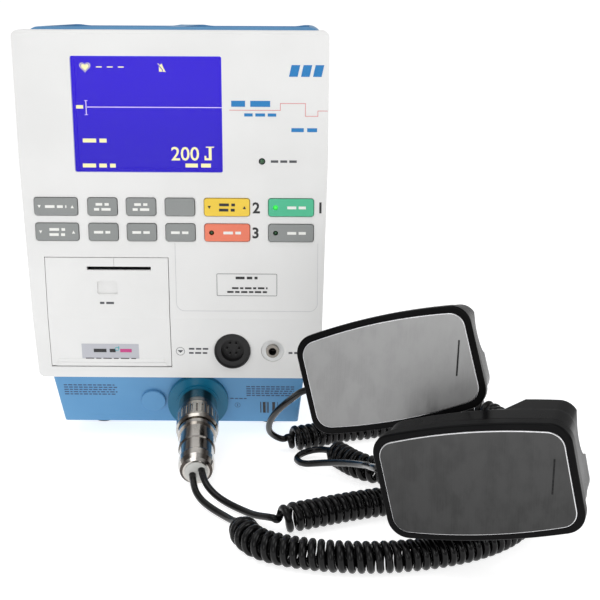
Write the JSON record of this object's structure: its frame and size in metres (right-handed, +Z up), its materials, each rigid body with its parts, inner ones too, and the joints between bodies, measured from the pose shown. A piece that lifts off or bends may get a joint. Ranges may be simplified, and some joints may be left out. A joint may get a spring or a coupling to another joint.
{
  "type": "defibrillator",
  "caption": "Upright ward defibrillator and monitor with a screen, keypad, strip recorder and plug-in paddle connector, its hand paddles resting in front on coiled cords.",
  "frame": {"origin": "on the floor, under the middle of the whole object without its cords", "axes": "+Z up, -Y towards the side with the screen, +X to the right of someone facing the screen"},
  "size_m": [0.4093, 0.4399, 0.345],
  "materials": {
    "white_shell": "satin moulding",
    "blue_shell": "satin moulding",
    "dark_board": "circuit board",
    "black_plastic": "gloss",
    "dark_plastic": "satin",
    "rubber": "matt",
    "pale_rubber": "matt",
    "steel": "brushed",
    "chrome": "polished",
    "teal_plastic": "gloss",
    "screen_glass": "clear",
    "screen_blue": "lit display",
    "led_lens": "translucent lens",
    "paper": "paper",
    "key_grey": "satin",
    "key_yellow": "satin",
    "key_green": "satin",
    "key_orange": "satin",
    "button_orange": "gloss",
    "case_metal": "painted",
    "cell_pack": "wrapped cells"
  },
  "bodies": {
    "unit": {"front_shell": "white_shell", "rear_shell": "blue_shell", "base_pan": "blue_shell", "feet": "rubber", "case_screws": "steel", "lcd_window": "screen_glass", "lcd_module": "screen_blue", "keypad_board": "dark_board", "key_switches": "dark_plastic", "status_leds": "led_lens", "door_pin": "steel", "printer_bay": "dark_plastic", "ecg_socket": "dark_plastic", "jack_socket": "chrome", "receptacle": "teal_plastic", "plug_shell": "chrome", "plug_nut": "chrome", "plug_grommet": "pale_rubber", "round_cap": "blue_shell", "main_board": "dark_board", "hv_capacitor": "case_metal", "power_supply": "case_metal", "battery_pack": "cell_pack", "mains_inlet": "dark_plastic", "speaker": "case_metal", "handle_pins": "steel", "lead_1": "rubber", "lead_2": "rubber", "coil_1": "rubber", "coil_2": "rubber", "loop_2": "rubber"},
    "key_size_upper": {"key_size_upper": "key_grey"},
    "key_lead_upper": {"key_lead_upper": "key_grey"},
    "key_alarm_upper": {"key_alarm_upper": "key_grey"},
    "key_spare_upper": {"key_spare_upper": "key_grey"},
    "key_energy_upper": {"key_energy_upper": "key_yellow"},
    "key_power_upper": {"key_power_upper": "key_green"},
    "key_size_lower": {"key_size_lower": "key_grey"},
    "key_lead_lower": {"key_lead_lower": "key_grey"},
    "key_alarm_lower": {"key_alarm_lower": "key_grey"},
    "key_spare_lower": {"key_spare_lower": "key_grey"},
    "key_energy_lower": {"key_energy_lower": "key_yellow"},
    "key_power_lower": {"key_power_lower": "key_orange"},
    "printer_door": {"printer_door": "white_shell"},
    "paper_roll": {"paper_roll": "paper"},
    "platen_roller": {"platen_roller": "rubber"},
    "coupling_ring": {"coupling_ring": "chrome"},
    "carry_handle": {"carry_handle": "blue_shell"},
    "paddle_1": {"paddle_1_electrode": "steel", "paddle_1_tray": "black_plastic", "paddle_1_housing": "black_plastic", "paddle_1_strain_relief": "rubber", "tail_1": "rubber"},
    "paddle_1_button": {"paddle_1_button": "button_orange"},
    "paddle_2": {"paddle_2_electrode": "steel", "paddle_2_tray": "black_plastic", "paddle_2_housing": "black_plastic", "paddle_2_strain_relief": "rubber", "tail_2": "rubber"},
    "paddle_2_button": {"paddle_2_button": "button_orange"}
  },
  "joints": [
    {"name": "key_size_upper_rock", "type": "hinge", "parent": "unit", "child": "key_size_upper", "pos_m": [-0.1773, 0.0337, 0.2071], "axis": [0, 0, 1], "range_deg": [-2.5, 2.5], "stiffness_Nm_per_rad": 0.4},
    {"name": "key_lead_upper_press", "type": "slide", "parent": "unit", "child": "key_lead_upper", "axis": [0, 1, 0], "range_m": [0, 0.0012], "stiffness_N_per_m": 400},
    {"name": "key_alarm_upper_press", "type": "slide", "parent": "unit", "child": "key_alarm_upper", "axis": [0, 1, 0], "range_m": [0, 0.0012], "stiffness_N_per_m": 400},
    {"name": "key_spare_upper_press", "type": "slide", "parent": "unit", "child": "key_spare_upper", "axis": [0, 1, 0], "range_m": [0, 0.0012], "stiffness_N_per_m": 400},
    {"name": "key_energy_upper_rock", "type": "hinge", "parent": "unit", "child": "key_energy_upper", "pos_m": [-0.0418, 0.0337, 0.2071], "axis": [0, 0, 1], "range_deg": [-2.5, 2.5], "stiffness_Nm_per_rad": 0.4},
    {"name": "key_power_upper_press", "type": "slide", "parent": "unit", "child": "key_power_upper", "axis": [0, 1, 0], "range_m": [0, 0.0012], "stiffness_N_per_m": 400},
    {"name": "key_size_lower_rock", "type": "hinge", "parent": "unit", "child": "key_size_lower", "pos_m": [-0.1773, 0.0337, 0.1866], "axis": [0, 0, 1], "range_deg": [-2.5, 2.5], "stiffness_Nm_per_rad": 0.4},
    {"name": "key_lead_lower_press", "type": "slide", "parent": "unit", "child": "key_lead_lower", "axis": [0, 1, 0], "range_m": [0, 0.0012], "stiffness_N_per_m": 400},
    {"name": "key_alarm_lower_press", "type": "slide", "parent": "unit", "child": "key_alarm_lower", "axis": [0, 1, 0], "range_m": [0, 0.0012], "stiffness_N_per_m": 400},
    {"name": "key_spare_lower_press", "type": "slide", "parent": "unit", "child": "key_spare_lower", "axis": [0, 1, 0], "range_m": [0, 0.0012], "stiffness_N_per_m": 400},
    {"name": "key_energy_lower_press", "type": "slide", "parent": "unit", "child": "key_energy_lower", "axis": [0, 1, 0], "range_m": [0, 0.0012], "stiffness_N_per_m": 400},
    {"name": "key_power_lower_press", "type": "slide", "parent": "unit", "child": "key_power_lower", "axis": [0, 1, 0], "range_m": [0, 0.0012], "stiffness_N_per_m": 400},
    {"name": "door_hinge", "type": "hinge", "parent": "unit", "child": "printer_door", "pos_m": [-0.13925, 0.0339, 0.078], "axis": [1, 0, 0], "range_deg": [0, 75]},
    {"name": "roll_spin", "type": "hinge", "parent": "unit", "child": "paper_roll", "pos_m": [-0.13925, 0.0697, 0.112], "axis": [1, 0, 0], "continuous": true},
    {"name": "platen_spin", "type": "hinge", "parent": "unit", "child": "platen_roller", "pos_m": [-0.13925, 0.0427, 0.15], "axis": [1, 0, 0], "continuous": true},
    {"name": "ring_turn", "type": "hinge", "parent": "unit", "child": "coupling_ring", "pos_m": [-0.0673, 0.01267, 0.02935], "axis": [0.0764, -0.9714, -0.225], "range_deg": [0, 90]},
    {"name": "handle_swing", "type": "hinge", "parent": "unit", "child": "carry_handle", "pos_m": [-0.0834, 0.2117, 0.3], "axis": [1, 0, 0], "range_deg": [0, 180]},
    {"name": "paddle_1_lift", "type": "slide", "parent": "unit", "child": "paddle_1", "axis": [0, 0, 1], "range_m": [0, 0.1]},
    {"name": "paddle_1_press", "type": "slide", "parent": "paddle_1", "child": "paddle_1_button", "axis": [-0.2836, -0.9452, 0.1616], "range_m": [0, 0.0025], "stiffness_N_per_m": 600},
    {"name": "paddle_2_lift", "type": "slide", "parent": "unit", "child": "paddle_2", "axis": [0.25, -0.75, 0.6124], "range_m": [0, 0.06]},
    {"name": "paddle_2_press", "type": "slide", "parent": "paddle_2", "child": "paddle_2_button", "axis": [-0.3565, -0.9336, -0.0366], "range_m": [0, 0.0025], "stiffness_N_per_m": 600}
  ]
}
